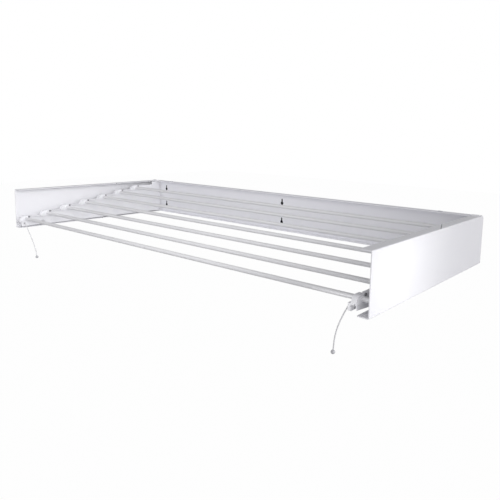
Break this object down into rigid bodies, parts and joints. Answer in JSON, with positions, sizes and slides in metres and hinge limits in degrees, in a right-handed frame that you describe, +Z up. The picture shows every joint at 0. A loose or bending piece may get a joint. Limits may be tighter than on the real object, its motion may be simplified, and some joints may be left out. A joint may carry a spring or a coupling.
{
  "type": "wall mounted drying rack",
  "caption": "Wall mounted clothes drying rack: round rods between two boxed side arms that fold up on top pivots against a channel-shaped back panel, with pull-cord release levers.",
  "frame": {"origin": "on the wall face: mid width of the rack and mid height of its arms", "axes": "+Y into the wall, -Y into the room, +Z up, +X along the rods to the right as seen from the room"},
  "size_m": [1.016, 0.4554, 0.1723],
  "materials": {
    "panel_coat": "satin powder coat",
    "white_coat": "satin powder coat",
    "rod_metal": "satin",
    "zinc": "zinc plated",
    "pin_steel": "turned",
    "nylon": "moulded",
    "pad_rubber": "moulded",
    "bumper": "soft",
    "plug": "moulded",
    "clip_plastic": "moulded",
    "cord": "braided",
    "bead": "moulded"
  },
  "bodies": {
    "wall_unit": {"back_panel": "panel_coat", "panel_bumpers": "bumper", "left_end_bracket": "white_coat", "right_end_bracket": "white_coat", "left_pivot_bushes": "nylon", "right_pivot_bushes": "nylon", "left_bracket_rivets": "zinc", "right_bracket_rivets": "zinc", "left_stop_pad": "pad_rubber", "right_stop_pad": "pad_rubber"},
    "fold_frame": {"rod_1": "rod_metal", "rod_2": "rod_metal", "rod_3": "rod_metal", "rod_4": "rod_metal", "rod_5": "rod_metal", "rod_6": "rod_metal", "rod_7": "rod_metal", "left_front_cover": "white_coat", "right_front_cover": "white_coat", "left_rear_cover": "white_coat", "right_rear_cover": "white_coat", "left_splice_plate": "white_coat", "right_splice_plate": "white_coat", "left_step_plate": "white_coat", "right_step_plate": "white_coat", "left_standoffs": "zinc", "right_standoffs": "zinc", "left_stop_block": "nylon", "right_stop_block": "nylon", "left_pivot_pin": "white_coat", "right_pivot_pin": "white_coat", "left_rod_end_plugs": "plug", "right_rod_end_plugs": "plug", "left_rod_clips": "clip_plastic", "right_rod_clips": "clip_plastic", "left_rod_buffers": "pad_rubber", "right_rod_buffers": "pad_rubber", "left_lever_pin": "pin_steel", "right_lever_pin": "pin_steel"},
    "left_lever": {"left_release_lever": "clip_plastic", "left_pull_cord": "cord", "left_cord_knot": "cord", "left_cord_bead": "bead"},
    "right_lever": {"right_release_lever": "clip_plastic", "right_pull_cord": "cord", "right_cord_knot": "cord", "right_cord_bead": "bead"}
  },
  "joints": [
    {"name": "frame_fold", "type": "hinge", "parent": "wall_unit", "child": "fold_frame", "pos_m": [0, -0.012, 0.04], "axis": [-1, 0, 0], "range_deg": [0, 90]},
    {"name": "left_lever_pull", "type": "hinge", "parent": "fold_frame", "child": "left_lever", "pos_m": [-0.47685, -0.398, -0.035], "axis": [1, 0, 0], "range_deg": [0, 10], "stiffness_Nm_per_rad": 0.3, "springref_deg": -17.19},
    {"name": "right_lever_pull", "type": "hinge", "parent": "fold_frame", "child": "right_lever", "pos_m": [0.47685, -0.398, -0.035], "axis": [1, 0, 0], "range_deg": [0, 10], "stiffness_Nm_per_rad": 0.3, "springref_deg": -17.19}
  ]
}
